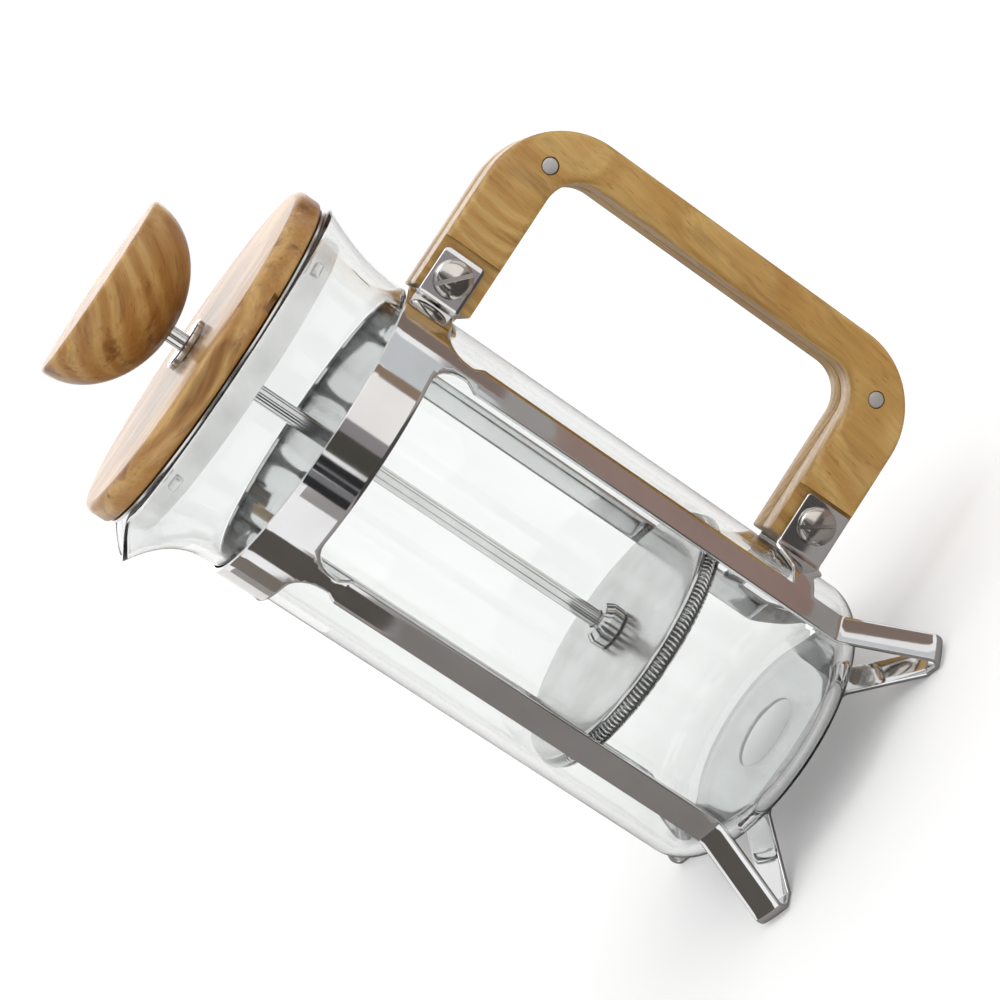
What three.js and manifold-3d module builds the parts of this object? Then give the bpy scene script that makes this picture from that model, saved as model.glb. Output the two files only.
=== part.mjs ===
// French press with an olive-wood handle, lid and knob. Millimetres, +Z up, the floor is z = 0.
// The vessel axis is vertical. The handle points to +X, the spout to -X.
import * as THREE from "three";
import { mergeVertices } from "three/addons/utils/BufferGeometryUtils.js";
import Module from "manifold-3d";

const wasm = await Module();
wasm.setup();

// Driving dimensions.
const GAP = 0.3; // clearance between neighbouring pieces
const ROUND = 48; // sides of the large round pieces
const GLASS_RADIUS = 36; // outside of the straight glass wall
const GLASS_WALL = 2.3;
const GLASS_BOTTOM = 11.4; // underside of the glass above the floor
const GLASS_CORNER = 8; // outside radius of the rounded bottom corner
const RIM_TOP = 161.3;
const WALL_TOP = 139; // the straight wall ends here and the flare starts
// The outside of the flare under the rim, as [radius, height].
const FLARE = [
  [36.3, 143],
  [36.8, 147],
  [37.5, 150.5],
  [38.5, 153.8],
  [39.6, 156.8],
  [40.6, 159.2],
  [41.1, 160.6],
];
const RIM_FLAT = { outside: 40.7, inside: 39.5 };
const SPOUT_FROM = 143; // height where the wall starts to lean out towards the spout
const SPOUT_PUSH = 5.0; // how far the lip of the spout stands out
const SPOUT_DROP = 5.6; // how far the lip of the spout dips
const SPOUT_HALF_ANGLE = 27; // degrees to each side of -X
const SPOUT_CURVE = 1.6; // how late the lean gathers with height

const SHEET = 1.1; // thickness of the steel strip
const CAGE_INSIDE = GLASS_RADIUS + GAP;
const CAGE_OUTSIDE = CAGE_INSIDE + SHEET;
const BAND_BOTTOM = 126.5;
const BAND_TOP = 138.3;
const STRAP_ANGLES = { front_right: -45, back_right: 45, back_left: 135, front_left: -135 };
const STRAP_WIDTH = 8;
const NECK_WIDTH = 4.4;
const NECK_TOP = 120.4; // where the fillets under the band end
const SPLIT_HEIGHT = 119.8; // the necks belong to the band above this height
const SHOULDER_BOTTOM = 116.4; // full strap width below this height
const SHOULDER = { inset: 0.5, rise: 1.4 }; // the rounding where the strap starts to narrow
const NECK_FLARE = { inset: 0.3, drop: 1 }; // the rounding where the neck is reached
const LEG_KNEE = 20.5; // height where the strap bends outwards
const FOOT_RADIUS = 48.9; // reach of the foot at the floor
const SOLE_INSIDE = 43.4; // inner end of the sole
const RETURN_END = 26; // where the return leg turns flat under the base ring
const PAD_INSIDE = 15; // inner end of the flat pad under the base ring
const KNEE_RADII = [4, 1.6, 1.2, 3]; // bends at the knee, toe, sole and pad
const BASE_RING = { inside: 9, outside: 25, bottom: 10.2, top: 11.1 };

const HANDLE_THICKNESS = 15;
const HANDLE_EDGE = 1.5; // rounding of the wooden edges
const ARM_END = 38.2; // where the wooden arms stop beside the glass
const GRIP_OUTSIDE = 87.3;
const GRIP_INSIDE = 77.8;
const LOWER_ARM = { bottom: 24.5, top: 39.4 };
const UPPER_ARM = { bottom: 122.6, top: 137 };
const OUTER_CORNER = 20;
const INNER_CORNER = 8.5;
const RECESS_END = 50.7; // the steel tabs lie in a recess from the arm's end to here
const TAB_OUTSIDE = 7.4; // outer face of a steel tab beside the middle plane
const TAB_INSIDE = TAB_OUTSIDE - SHEET;
const TAB_CORNER = 2;
const UPPER_TAB = { end: 48.8, bottom: 125.3, top: 135.7 };
const LOWER_TAB = { end: 50, bottom: 25, top: 36.6 };
// The tongue from a strap to the lower tab. Its places are sideways distances from a line
// at this angle off +X.
const TONGUE = {
  angle: 27,
  strapEnd: 11.5,
  tabEnd: 11.6,
  neckTop: { at: 2.5, height: 34, atStrap: 33.6 },
  neckBottom: { at: 2, height: 28, atStrap: 28.4 },
  flareTop: 7,
  flareBottom: 6.5,
};
const UPPER_SCREW = { x: 43.2, z: 130.5 };
const LOWER_SCREW = { x: 44.4, z: 30.9 };
const PIN_X = 75.7;
const PIN_FROM_ARM = 10.6; // distance of a pin from the outer face of its arm
const PIN_RADIUS = 1.85;
const SCREW_SHANK = 1.9;
const SCREW_HEAD = 4.4;
const HEAD_HEIGHT = 2.1;
const HEAD_SLOT = { width: 1.1, depth: 0.9 };
const NUT_HEIGHT = 1.8;

const LID_RADIUS = 40.8;
const LID_BOTTOM = 162.6;
const LID_TOP = 168.6;
const LID_EDGE = 1.6; // rounding of the wooden disc
const LINER_RADIUS = 40.2;
const LINER = { bottom: 161.6, top: 162.3, skirtInside: 35.4, skirtOutside: 36, skirtBottom: 155.8 };
const CLIPS = { count: 4, first: 45, halfWidth: 2, bottom: 157.6, top: 159.4, proud: 0.6 };
const BUSHING = { shank: 3.5, flange: 6.2, bottom: 156.6, chamfer: 1.1, top: 170.5 };
const LID_NUT = { bottom: 157.9, top: 161.3, radius: 6.2 };

const ROD_RADIUS = 2;
const ROD = { bottom: 45.6, top: 183 };
const KNOB = { radius: 21.8, bottom: 173.8, top: 192, rim: 0.8 };
const INSERT = { radius: 3.4, bottom: 174.4, top: 184.6 };

const FILTER = {
  crossPlate: { bottom: 49.6, top: 50.5, radius: 27 },
  screen: { bottom: 50.8, top: 51.2, radius: 32.2 },
  coil: { middle: 53.1, ring: 31.6, wire: 1.6 },
  springPlate: { bottom: 55, top: 55.8, radius: 32.4 },
  hub: { bottom: 56.1, top: 60.6, radius: 5.2 },
  nut: { bottom: 46, top: 49.3, radius: 4.6 },
};

const STEEL = { color: 0xd4d6d8, roughness: 0.12, metalness: 1 };
const WOOD = { color: 0xc58a4a, roughness: 0.5, metalness: 0 };
const GLASS = { color: 0xe8f0f0, roughness: 0.03, metalness: 0 };
const BRASS = { color: 0xb59a5a, roughness: 0.3, metalness: 1 };

const press = new THREE.Group();
press.name = "french_press";

// ---- helpers ----

function radians(degrees) {
  return (degrees * Math.PI) / 180;
}

// A geometry as a solid for joining and cutting.
function solid(geometry) {
  const bare = new THREE.BufferGeometry();
  bare.setAttribute("position", geometry.getAttribute("position"));
  bare.setIndex(geometry.index);
  const merged = mergeVertices(bare, 1e-4);
  return new wasm.Manifold(
    new wasm.Mesh({
      numProp: 3,
      vertProperties: merged.attributes.position.array,
      triVerts: new Uint32Array(merged.index.array),
    }),
  );
}

// A solid as a geometry that three.js can draw.
function geometryOf(made) {
  const mesh = made.getMesh();
  const geometry = new THREE.BufferGeometry();
  const positions = new Float32Array(mesh.numVert * 3);
  for (let i = 0; i < mesh.numVert; i++) {
    const start = i * mesh.numProp;
    positions.set(mesh.vertProperties.subarray(start, start + 3), i * 3);
  }
  geometry.setAttribute("position", new THREE.BufferAttribute(positions, 3));
  geometry.setIndex(new THREE.BufferAttribute(new Uint32Array(mesh.triVerts), 1));
  geometry.computeVertexNormals();
  return geometry;
}

function add(name, shape, look) {
  const geometry = shape.isBufferGeometry ? shape : geometryOf(shape);
  const mesh = new THREE.Mesh(geometry, new THREE.MeshStandardMaterial(look));
  mesh.name = name;
  press.add(mesh);
}

// Turns [radius, height] points, outside going up, round the vertical axis.
function revolve(profile, segments) {
  const points = profile.map(([radius, height]) => new THREE.Vector2(radius, height));
  return new THREE.LatheGeometry(points, segments).rotateX(Math.PI / 2);
}

// A ring or tube with a rectangular section.
function ring(inside, outside, bottom, top, segments) {
  const profile = [
    [inside, bottom],
    [outside, bottom],
    [outside, top],
    [inside, top],
    [inside, bottom],
  ];
  return revolve(profile, segments);
}

function rod(radius, bottom, top, segments) {
  const profile = [
    [0, bottom],
    [radius, bottom],
    [radius, top],
    [0, top],
  ];
  return revolve(profile, segments);
}

// A hexagonal nut with a plain round hole.
function hexNut(hole, nut) {
  const outline = shapeOf(circle(0, 0, nut.radius, 6));
  outline.holes.push(shapeOf(circle(0, 0, hole, 20)));
  const options = { depth: nut.top - nut.bottom, bevelEnabled: false };
  return new THREE.ExtrudeGeometry(outline, options).translate(0, 0, nut.bottom);
}

function shapeOf(points) {
  return new THREE.Shape(points.map(([x, y]) => new THREE.Vector2(x, y)));
}

// A closed outline in the plane of x and z, given thickness along y from yFrom to yTo.
function plateXZ(shape, yFrom, yTo, curveSegments = 6) {
  const options = { depth: yTo - yFrom, bevelEnabled: false, curveSegments };
  const geometry = new THREE.ExtrudeGeometry(shape, options);
  return geometry.rotateX(Math.PI / 2).translate(0, yTo, 0);
}

function box(xFrom, xTo, yFrom, yTo, zFrom, zTo) {
  const geometry = new THREE.BoxGeometry(xTo - xFrom, yTo - yFrom, zTo - zFrom);
  return geometry.translate((xFrom + xTo) / 2, (yFrom + yTo) / 2, (zFrom + zTo) / 2);
}

// A round bar along y.
function crossBar(radius, x, z, yFrom, yTo, segments = 20) {
  return rod(radius, yFrom, yTo, segments).rotateX(-Math.PI / 2).translate(x, 0, z);
}

// Points of a circular arc from one angle to the other, in degrees.
function arc(cx, cy, radius, from, to, steps) {
  const points = [];
  for (let i = 0; i <= steps; i++) {
    const angle = radians(from + ((to - from) * i) / steps);
    points.push([cx + radius * Math.cos(angle), cy + radius * Math.sin(angle)]);
  }
  return points;
}

function circle(cx, cy, radius, sides) {
  return arc(cx, cy, radius, 0, 360 - 360 / sides, sides - 1);
}

// An open path with each inner corner replaced by an arc of the given radius.
function roundedPath(points, radii, steps) {
  const path = [points[0]];
  for (let i = 1; i < points.length - 1; i++) {
    const corner = new THREE.Vector2(...points[i]);
    const before = new THREE.Vector2(...points[i - 1]).sub(corner).normalize();
    const after = new THREE.Vector2(...points[i + 1]).sub(corner).normalize();
    const half = before.angleTo(after) / 2;
    const reach = radii[i - 1] / Math.tan(half);
    const middle = before.clone().add(after).normalize();
    const centre = corner.clone().add(middle.multiplyScalar(radii[i - 1] / Math.sin(half)));
    const start = corner.clone().addScaledVector(before, reach).sub(centre);
    const end = corner.clone().addScaledVector(after, reach).sub(centre);
    let turn = end.angle() - start.angle();
    if (turn > Math.PI) turn -= 2 * Math.PI;
    if (turn < -Math.PI) turn += 2 * Math.PI;
    for (let k = 0; k <= steps; k++) {
      const point = start.clone().rotateAround(new THREE.Vector2(), (turn * k) / steps).add(centre);
      path.push([point.x, point.y]);
    }
  }
  path.push(points[points.length - 1]);
  return path;
}

// The path moved sideways, to its left when the distance is positive.
function offsetPath(points, distance) {
  return points.map((point, i) => {
    const here = new THREE.Vector2(...point);
    const last = new THREE.Vector2(...points[Math.max(i - 1, 0)]);
    const next = new THREE.Vector2(...points[Math.min(i + 1, points.length - 1)]);
    const incoming = here.clone().sub(last);
    const outgoing = next.clone().sub(here);
    if (incoming.lengthSq() === 0) incoming.copy(outgoing);
    if (outgoing.lengthSq() === 0) outgoing.copy(incoming);
    const tangent = incoming.normalize().add(outgoing.normalize());
    const cosHalf = tangent.length() / 2;
    tangent.normalize();
    const reach = distance / cosHalf;
    return [here.x - tangent.y * reach, here.y + tangent.x * reach];
  });
}

// The outline of a strip of even thickness along a middle line.
function stripOutline(middle, thickness) {
  const left = offsetPath(middle, thickness / 2);
  const right = offsetPath(middle, -thickness / 2).reverse();
  return shapeOf([...left, ...right]);
}

// ---- glass vessel ----

function vesselGeometry() {
  const cornerCentre = GLASS_RADIUS - GLASS_CORNER;
  const outside = [
    [0, GLASS_BOTTOM],
    ...arc(cornerCentre, GLASS_BOTTOM + GLASS_CORNER, GLASS_CORNER, -90, 0, 5),
    [GLASS_RADIUS, WALL_TOP],
    ...FLARE,
  ];
  const inside = offsetPath(outside, GLASS_WALL).reverse();
  inside[inside.length - 1][0] = 0;
  const rim = [[RIM_FLAT.outside, RIM_TOP], [RIM_FLAT.inside, RIM_TOP]];
  const geometry = revolve([...outside, ...rim, ...inside], ROUND);
  const position = geometry.getAttribute("position");
  for (let i = 0; i < position.count; i++) {
    const x = position.getX(i);
    const y = position.getY(i);
    const z = position.getZ(i);
    const fromSpout = Math.abs(Math.atan2(y, -x)) / radians(SPOUT_HALF_ANGLE);
    const up = (z - SPOUT_FROM) / (RIM_TOP - SPOUT_FROM);
    if (fromSpout >= 1 || up <= 0) continue;
    const share = Math.cos((fromSpout * Math.PI) / 2) ** 2 * Math.min(up, 1) ** SPOUT_CURVE;
    const radius = Math.hypot(x, y);
    const stretch = (radius + SPOUT_PUSH * share) / radius;
    position.setXYZ(i, x * stretch, y * stretch, z - SPOUT_DROP * share);
  }
  return geometry;
}

add("glass_vessel", vesselGeometry(), { ...GLASS, transparent: true, opacity: 0.35 });

// ---- steel cage: collar band, four strap legs, base ring ----

// Extrudes an outline drawn in sideways distance and height outwards through the wall at an angle.
function radialPunch(points, degrees) {
  const geometry = plateXZ(shapeOf(points), 0, 1.2 * CAGE_OUTSIDE);
  return solid(geometry.rotateZ(radians(degrees - 90)));
}

function handleTab(tab, side, screw) {
  const corner = TAB_CORNER;
  const start = CAGE_INSIDE - GAP / 2;
  const outline = [
    [start, tab.bottom],
    ...arc(tab.end - corner, tab.bottom + corner, corner, -90, 0, 3),
    ...arc(tab.end - corner, tab.top - corner, corner, 0, 90, 3),
    [start, tab.top],
  ];
  const near = side > 0 ? TAB_INSIDE : -TAB_OUTSIDE;
  const plate = solid(plateXZ(shapeOf(outline), near, near + SHEET));
  const hole = solid(crossBar(SCREW_SHANK + GAP, screw.x, screw.z, -20, 20));
  return plate.subtract(hole);
}

function collarBand() {
  const hoop = solid(ring(CAGE_INSIDE, CAGE_OUTSIDE, BAND_BOTTOM, BAND_TOP, ROUND));
  const opening = solid(box(0, CAGE_OUTSIDE + 5, -TAB_INSIDE, TAB_INSIDE, BAND_BOTTOM - 1, BAND_TOP + 1));
  const lowHoop = solid(ring(CAGE_INSIDE, CAGE_OUTSIDE, SPLIT_HEIGHT, BAND_BOTTOM + 1, ROUND));
  const fillet = BAND_BOTTOM - NECK_TOP;
  const half = NECK_WIDTH / 2;
  const ear = [
    [-half, SPLIT_HEIGHT],
    [half, SPLIT_HEIGHT],
    ...arc(half + fillet, NECK_TOP, fillet, 180, 90, 6),
    [half + fillet, BAND_BOTTOM + 1],
    [-half - fillet, BAND_BOTTOM + 1],
    ...arc(-half - fillet, NECK_TOP, fillet, 90, 0, 6),
  ];
  let band = hoop.subtract(opening);
  for (const degrees of Object.values(STRAP_ANGLES)) {
    band = band.add(lowHoop.intersect(radialPunch(ear, degrees)));
  }
  for (const side of [1, -1]) {
    band = band.add(handleTab(UPPER_TAB, side, UPPER_SCREW));
  }
  return band;
}

add("collar_band", collarBand(), STEEL);

// The strip seen from the side: strap, knee, outer leg, sole, return leg and pad.
function legStrip() {
  const half = SHEET / 2;
  const strapMiddle = CAGE_INSIDE + half;
  const padMiddle = BASE_RING.bottom - GAP - half;
  const corners = [
    [strapMiddle, SPLIT_HEIGHT],
    [strapMiddle, LEG_KNEE],
    [FOOT_RADIUS, half],
    [SOLE_INSIDE, half],
    [RETURN_END, padMiddle],
    [PAD_INSIDE, padMiddle],
  ];
  const middle = roundedPath(corners, KNEE_RADII, 4);
  const geometry = plateXZ(stripOutline(middle, SHEET), -STRAP_WIDTH / 2, STRAP_WIDTH / 2);
  return solid(geometry);
}

function strapLeg(degrees) {
  const half = STRAP_WIDTH / 2;
  const neck = NECK_WIDTH / 2;
  const top = SPLIT_HEIGHT - GAP;
  const front = [
    [-half, -1],
    [half, -1],
    [half, SHOULDER_BOTTOM],
    [half - SHOULDER.inset, SHOULDER_BOTTOM + SHOULDER.rise],
    [neck + NECK_FLARE.inset, top - NECK_FLARE.drop],
    [neck, top],
    [-neck, top],
    [-neck - NECK_FLARE.inset, top - NECK_FLARE.drop],
    [-half + SHOULDER.inset, SHOULDER_BOTTOM + SHOULDER.rise],
    [-half, SHOULDER_BOTTOM],
  ];
  const outline = solid(plateXZ(shapeOf(front), 0, 1.2 * FOOT_RADIUS).rotateZ(-Math.PI / 2));
  const turned = geometryOf(legStrip().intersect(outline)).rotateZ(radians(degrees));
  return solid(turned);
}

// The tongue that grows from a handle-side strap round to the handle's lower arm.
function lowerTab(side) {
  const hoop = solid(ring(CAGE_INSIDE, CAGE_OUTSIDE, LOWER_TAB.bottom, LOWER_TAB.top, ROUND));
  const beyond = solid(box(0, FOOT_RADIUS, -TAB_INSIDE, TAB_INSIDE, 0, 2 * LOWER_TAB.top));
  const { strapEnd, tabEnd, neckTop, neckBottom } = TONGUE;
  const link = [
    [side * tabEnd, LOWER_TAB.bottom],
    [side * tabEnd, LOWER_TAB.top],
    [side * TONGUE.flareTop, LOWER_TAB.top],
    [side * neckTop.at, neckTop.height],
    [-side * strapEnd, neckTop.atStrap],
    [-side * strapEnd, neckBottom.atStrap],
    [side * neckBottom.at, neckBottom.height],
    [side * TONGUE.flareBottom, LOWER_TAB.bottom],
  ];
  const points = side > 0 ? link : link.slice().reverse();
  const tongue = hoop.intersect(radialPunch(points, side * TONGUE.angle)).subtract(beyond);
  return tongue.add(handleTab(LOWER_TAB, side, LOWER_SCREW));
}

for (const [place, degrees] of Object.entries(STRAP_ANGLES)) {
  let leg = strapLeg(degrees);
  if (Math.abs(degrees) < 90) {
    leg = leg.add(lowerTab(Math.sign(degrees)));
  }
  add("strap_leg_" + place, leg, STEEL);
}

add("base_ring", ring(BASE_RING.inside, BASE_RING.outside, BASE_RING.bottom, BASE_RING.top, 48), STEEL);

// ---- wooden handle in two halves, its pins, screws and nuts ----

function handleOutline(inset) {
  const outer = GRIP_OUTSIDE - inset;
  const inner = GRIP_INSIDE + inset;
  const bottom = LOWER_ARM.bottom + inset;
  const top = UPPER_ARM.top - inset;
  const innerBottom = LOWER_ARM.top - inset;
  const innerTop = UPPER_ARM.bottom + inset;
  const outerRadius = OUTER_CORNER - inset;
  const innerRadius = INNER_CORNER + inset;
  const end = ARM_END + inset;
  return shapeOf([
    [end, bottom],
    ...arc(outer - outerRadius, bottom + outerRadius, outerRadius, -90, 0, 9),
    ...arc(outer - outerRadius, top - outerRadius, outerRadius, 0, 90, 9),
    [end, top],
    [end, innerTop],
    ...arc(inner - innerRadius, innerTop - innerRadius, innerRadius, 90, 0, 7),
    ...arc(inner - innerRadius, innerBottom + innerRadius, innerRadius, 0, -90, 7),
    [end, innerBottom],
  ]);
}

function pinHeights() {
  return { lower: LOWER_ARM.bottom + PIN_FROM_ARM, upper: UPPER_ARM.top - PIN_FROM_ARM };
}

function handleHalf(side) {
  const options = {
    depth: HANDLE_THICKNESS - 2 * HANDLE_EDGE,
    bevelEnabled: true,
    bevelSize: HANDLE_EDGE,
    bevelThickness: HANDLE_EDGE,
    bevelSegments: 3,
  };
  const whole = new THREE.ExtrudeGeometry(handleOutline(HANDLE_EDGE), options)
    .rotateX(Math.PI / 2)
    .translate(0, HANDLE_THICKNESS / 2 - HANDLE_EDGE, 0);
  const seam = GAP / 2;
  const keep = side > 0 ? box(0, 100, seam, 20, 0, 200) : box(0, 100, -20, -seam, 0, 200);
  const recessFloor = TAB_INSIDE - GAP;
  let half = solid(whole).intersect(solid(keep));
  for (const arm of [LOWER_ARM, UPPER_ARM]) {
    const reach = side > 0 ? [recessFloor, 20] : [-20, -recessFloor];
    half = half.subtract(solid(box(0, RECESS_END, ...reach, arm.bottom - 1, arm.top + 1)));
  }
  for (const screw of [LOWER_SCREW, UPPER_SCREW]) {
    half = half.subtract(solid(crossBar(SCREW_SHANK + GAP, screw.x, screw.z, -20, 20)));
  }
  for (const height of Object.values(pinHeights())) {
    half = half.subtract(solid(crossBar(PIN_RADIUS + GAP, PIN_X, height, -20, 20)));
  }
  return half;
}

add("handle_half_front", handleHalf(-1), WOOD);
add("handle_half_back", handleHalf(1), { ...WOOD, color: 0xbf8344 });

const ALUMINIUM = { color: 0xc9cccf, roughness: 0.35, metalness: 1 };
for (const [place, height] of Object.entries(pinHeights())) {
  const reach = HANDLE_THICKNESS / 2 - 0.1;
  add("handle_pin_" + place, crossBar(PIN_RADIUS, PIN_X, height, -reach, reach), ALUMINIUM);
}

// A shank along y with a domed slotted head outside the front tab.
function handleScrew(screw, slotDegrees) {
  const seat = TAB_OUTSIDE + GAP;
  const crown = -seat - HEAD_HEIGHT;
  const profile = [
    [0, crown],
    [0.36 * SCREW_HEAD, crown + 0.1],
    [0.68 * SCREW_HEAD, crown + 0.5],
    [0.91 * SCREW_HEAD, crown + 1.1],
    [SCREW_HEAD, -seat - 0.3],
    [SCREW_HEAD, -seat],
    [SCREW_SHANK, -seat],
    [SCREW_SHANK, seat + NUT_HEIGHT],
    [0, seat + NUT_HEIGHT],
  ];
  const body = solid(revolve(profile, 28).rotateX(-Math.PI / 2));
  const { width, depth } = HEAD_SLOT;
  const slot = box(-SCREW_HEAD - 1, SCREW_HEAD + 1, crown - 1, crown + depth, -width / 2, width / 2);
  const made = body.subtract(solid(slot.rotateY(radians(slotDegrees))));
  return geometryOf(made).translate(screw.x, 0, screw.z);
}

// The matching domed nut outside the back tab.
function handleNut(screw) {
  const seat = TAB_OUTSIDE + GAP;
  const hole = SCREW_SHANK + GAP;
  const profile = [
    [hole, seat],
    [SCREW_HEAD, seat],
    [SCREW_HEAD, seat + 0.4],
    [0.91 * SCREW_HEAD, seat + 1.2],
    [0.68 * SCREW_HEAD, seat + 1.7],
    [hole, seat + NUT_HEIGHT],
    [hole, seat],
  ];
  return revolve(profile, 28).rotateX(-Math.PI / 2).translate(screw.x, 0, screw.z);
}

for (const [place, screw, turn] of [["upper", UPPER_SCREW, 25], ["lower", LOWER_SCREW, 56]]) {
  add("handle_screw_" + place, handleScrew(screw, turn), STEEL);
  add("handle_nut_" + place, handleNut(screw), STEEL);
}

// ---- lid: wooden disc, steel liner with its skirt, bushing and nut ----

function lidDisc() {
  const edge = LID_EDGE;
  const hole = BUSHING.shank + GAP;
  const profile = [
    [hole, LID_BOTTOM],
    ...arc(LID_RADIUS - edge, LID_BOTTOM + edge, edge, -90, 0, 3),
    ...arc(LID_RADIUS - edge, LID_TOP - edge, edge, 0, 90, 3),
    [hole, LID_TOP],
    [hole, LID_BOTTOM],
  ];
  return revolve(profile, ROUND);
}

function lidLiner() {
  const hole = BUSHING.shank + GAP;
  const profile = [
    [hole, LINER.bottom],
    [LINER.skirtInside, LINER.bottom],
    [LINER.skirtInside, LINER.skirtBottom],
    [LINER.skirtOutside, LINER.skirtBottom],
    [LINER.skirtOutside, LINER.bottom],
    [LINER_RADIUS, LINER.bottom],
    [LINER_RADIUS, LINER.top],
    [hole, LINER.top],
    [hole, LINER.bottom],
  ];
  let liner = solid(revolve(profile, ROUND));
  const { halfWidth, proud } = CLIPS;
  const middle = (LINER.skirtInside + LINER.skirtOutside) / 2;
  for (let i = 0; i < CLIPS.count; i++) {
    const clip = box(middle, LINER.skirtOutside + proud, -halfWidth, halfWidth, CLIPS.bottom, CLIPS.top);
    liner = liner.add(solid(clip.rotateZ(radians(CLIPS.first + (360 * i) / CLIPS.count))));
  }
  return liner;
}

function lidBushing() {
  const hole = ROD_RADIUS + GAP;
  const profile = [
    [hole, BUSHING.bottom],
    [BUSHING.shank, BUSHING.bottom],
    [BUSHING.shank, LID_TOP + GAP],
    [BUSHING.flange, LID_TOP + GAP],
    [BUSHING.flange, BUSHING.top - BUSHING.chamfer],
    [BUSHING.flange - BUSHING.chamfer, BUSHING.top],
    [hole, BUSHING.top],
    [hole, BUSHING.bottom],
  ];
  return revolve(profile, 32);
}

add("lid_disc", lidDisc(), { ...WOOD, color: 0xd0a06a });
add("lid_liner", lidLiner(), STEEL);
add("lid_bushing", lidBushing(), STEEL);
add("lid_nut", hexNut(BUSHING.shank + GAP, LID_NUT), STEEL);

// ---- plunger: knob, insert, rod and filter ----

function knobGeometry() {
  const height = KNOB.top - KNOB.bottom;
  const hole = INSERT.radius + GAP;
  const startAngle = Math.asin(hole / KNOB.radius);
  const steps = 9;
  const dome = [];
  for (let i = 0; i <= steps; i++) {
    const angle = startAngle + ((Math.PI / 2 - startAngle) * i) / steps;
    const radius = KNOB.radius * Math.sin(angle);
    dome.push([radius, KNOB.top - KNOB.rim - (height - KNOB.rim) * Math.cos(angle)]);
  }
  const profile = [
    ...dome,
    [KNOB.radius - 0.3, KNOB.top - 0.2],
    [KNOB.radius - KNOB.rim, KNOB.top],
    [0, KNOB.top],
    [0, INSERT.top + GAP],
    [hole, INSERT.top + GAP],
    dome[0],
  ];
  return revolve(profile, 40);
}

add("knob", knobGeometry(), WOOD);

function knobInsert() {
  const hole = ROD_RADIUS + GAP;
  const profile = [
    [hole, INSERT.bottom],
    [INSERT.radius, INSERT.bottom],
    [INSERT.radius, INSERT.top],
    [0, INSERT.top],
    [0, ROD.top + GAP],
    [hole, ROD.top + GAP],
    [hole, INSERT.bottom],
  ];
  return revolve(profile, 24);
}

add("knob_insert", knobInsert(), BRASS);
add("plunger_rod", rod(ROD_RADIUS, ROD.bottom, ROD.top, 24), STEEL);

// A round sheet with a hole for the rod and rings of smaller holes.
function perforatedDisc(plate, holeRings) {
  const disc = shapeOf(circle(0, 0, plate.radius, 48));
  disc.holes.push(shapeOf(circle(0, 0, ROD_RADIUS + GAP, 16)));
  for (const { count, reach, radius } of holeRings) {
    for (let i = 0; i < count; i++) {
      const angle = (2 * Math.PI * i) / count;
      const hole = circle(reach * Math.cos(angle), reach * Math.sin(angle), radius, 10);
      disc.holes.push(shapeOf(hole));
    }
  }
  const options = { depth: plate.top - plate.bottom, bevelEnabled: false };
  return new THREE.ExtrudeGeometry(disc, options).translate(0, 0, plate.bottom);
}

const { crossPlate, screen, coil, springPlate, hub, nut } = FILTER;
add("filter_hub", ring(ROD_RADIUS + GAP, hub.radius, hub.bottom, hub.top, 24), STEEL);
add("filter_spring_plate", perforatedDisc(springPlate, [{ count: 8, reach: 19, radius: 4 }]), STEEL);
const coilRing = new THREE.TorusGeometry(coil.ring, coil.wire, 8, 40);
add("filter_coil_ring", coilRing.translate(0, 0, coil.middle), STEEL);
add("filter_screen", perforatedDisc(screen, []), { ...STEEL, roughness: 0.4 });
add(
  "filter_cross_plate",
  perforatedDisc(crossPlate, [
    { count: 6, reach: 10.5, radius: 2.6 },
    { count: 12, reach: 20, radius: 2.8 },
  ]),
  STEEL,
);
add("filter_nut", hexNut(ROD_RADIUS + GAP, nut), STEEL);

// Centre the whole object over the origin.
const bounds = new THREE.Box3().setFromObject(press);
press.position.x = -(bounds.min.x + bounds.max.x) / 2;

export default press;
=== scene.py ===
import math

import bmesh
import bpy
import numpy as np
from mathutils import Matrix, Vector
from mathutils.geometry import delaunay_2d_cdt


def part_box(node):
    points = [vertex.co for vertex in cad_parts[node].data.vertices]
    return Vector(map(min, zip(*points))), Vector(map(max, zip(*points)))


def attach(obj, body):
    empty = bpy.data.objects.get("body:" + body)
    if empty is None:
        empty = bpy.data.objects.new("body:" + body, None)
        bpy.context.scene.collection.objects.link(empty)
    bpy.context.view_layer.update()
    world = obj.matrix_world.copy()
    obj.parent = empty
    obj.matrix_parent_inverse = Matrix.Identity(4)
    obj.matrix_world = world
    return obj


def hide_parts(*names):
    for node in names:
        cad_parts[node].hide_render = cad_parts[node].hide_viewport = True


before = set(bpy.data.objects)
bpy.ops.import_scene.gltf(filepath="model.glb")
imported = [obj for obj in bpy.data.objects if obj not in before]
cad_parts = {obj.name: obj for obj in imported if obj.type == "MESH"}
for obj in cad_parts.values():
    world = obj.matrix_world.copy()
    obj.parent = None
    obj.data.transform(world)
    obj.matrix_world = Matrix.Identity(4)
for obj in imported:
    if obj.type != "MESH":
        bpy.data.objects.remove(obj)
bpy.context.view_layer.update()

MM = 0.001
TURN = 2 * math.pi
scene = bpy.context.scene
rod_low, rod_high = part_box("plunger_rod")
AXIS_X = (rod_low.x + rod_high.x) / 2

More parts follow.
